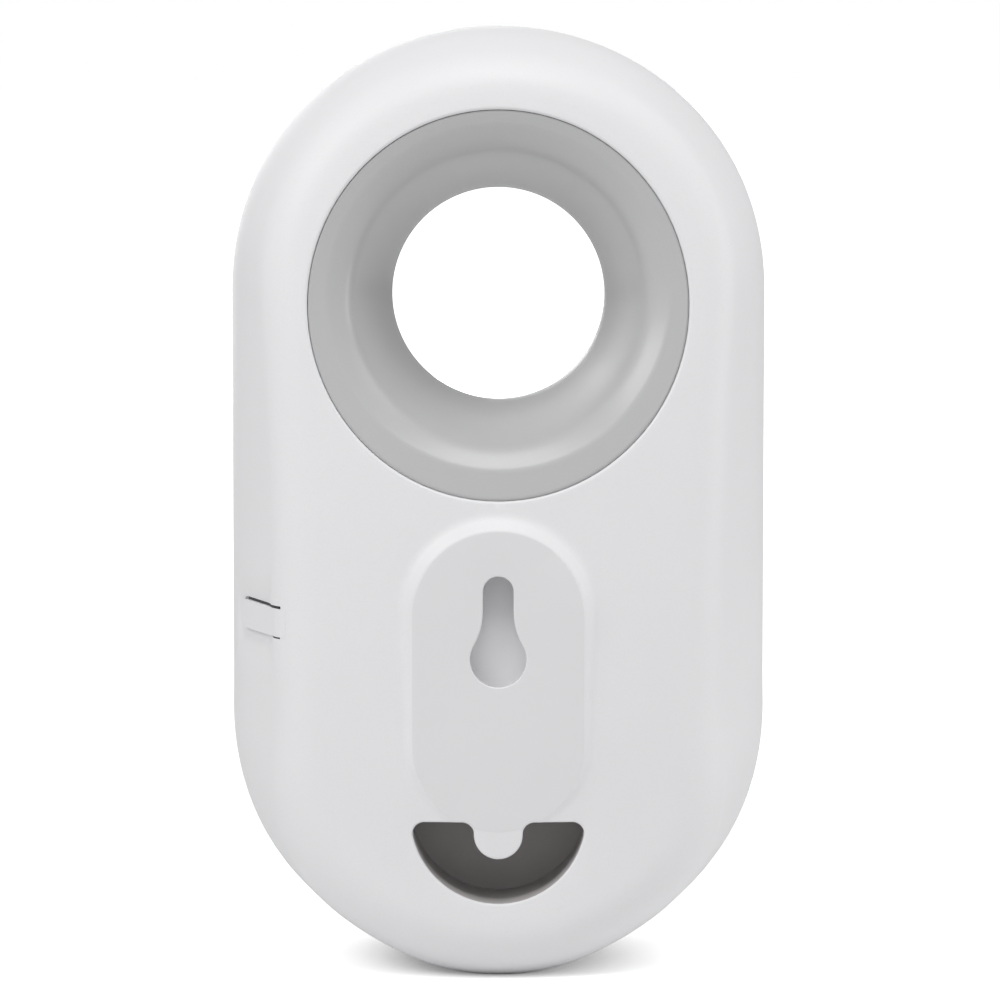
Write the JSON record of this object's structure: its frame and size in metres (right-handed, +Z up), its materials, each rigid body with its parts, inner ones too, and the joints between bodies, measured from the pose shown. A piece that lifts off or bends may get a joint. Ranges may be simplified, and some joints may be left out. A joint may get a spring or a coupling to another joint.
{
  "type": "wireless alarm siren",
  "caption": "Pill-shaped battery alarm siren with a sound horn right through its top, a keyhole wall pad and a lift-off rear cover.",
  "frame": {"origin": "under the middle of the housing, on the surface that it stands on", "axes": "+Z up; +Y from the wall towards the room, so the keyhole side faces -Y; +X to the right as seen from the wall"},
  "size_m": [0.0944, 0.047, 0.164],
  "materials": {
    "white_shell": "fine satin moulding",
    "grey_horn": "fine satin moulding",
    "dark_frame": "matt moulding",
    "cell_can": "printed sleeve over a can",
    "spring_steel": "nickel plated strip",
    "board_laminate": "solder mask",
    "shield_tin": "tin plate",
    "black_component": "moulded component body",
    "sounder_brass": "rolled brass",
    "sounder_ceramic": "silvered ceramic",
    "clear_lens": "translucent light pipe",
    "screw_steel": "zinc plated"
  },
  "bodies": {
    "housing": {"front_case": "white_shell", "horn_ring": "grey_horn", "front_flare": "grey_horn", "chassis": "dark_frame", "recess_cup": "dark_frame", "battery_cell_1": "cell_can", "battery_cell_2": "cell_can", "battery_cell_3": "cell_can", "battery_cell_4": "cell_can", "battery_contacts_low": "spring_steel", "battery_contacts_high": "spring_steel", "main_board": "board_laminate", "radio_shield": "shield_tin", "control_chip": "black_component", "transformer": "black_component", "status_led": "black_component", "antenna": "shield_tin", "capacitor": "cell_can", "sounder_cup": "black_component", "sounder_disc": "sounder_brass", "sounder_crystal": "sounder_ceramic", "sounder_leads": "black_component", "sound_duct": "dark_frame", "tamper_switch": "black_component", "pairing_switch": "black_component", "status_lens": "clear_lens", "case_screws": "screw_steel", "board_screws": "screw_steel"},
    "cover": {"rear_cover": "white_shell"},
    "release_tongue": {"release_tongue": "white_shell"},
    "tamper_plunger": {"tamper_plunger": "grey_horn"},
    "pairing_button": {"pairing_button": "grey_horn"}
  },
  "joints": [
    {"name": "cover_lift", "type": "slide", "parent": "housing", "child": "cover", "axis": [0, -1, 0], "range_m": [0, 0.06]},
    {"name": "release_press", "type": "hinge", "parent": "cover", "child": "release_tongue", "pos_m": [-0.0362, -0.01612, 0.0613], "axis": [0, 0, -1], "range_deg": [0, 3], "stiffness_Nm_per_rad": 0.8},
    {"name": "tamper_travel", "type": "slide", "parent": "housing", "child": "tamper_plunger", "axis": [0, -1, 0], "range_m": [0, 0.0015]},
    {"name": "pairing_press", "type": "slide", "parent": "housing", "child": "pairing_button", "axis": [0, 1, 0], "range_m": [0, 0.0006], "stiffness_N_per_m": 400}
  ],
  "couplings": [
    {"joint": "tamper_travel", "follows": "cover_lift", "ratio": 0.025}
  ]
}
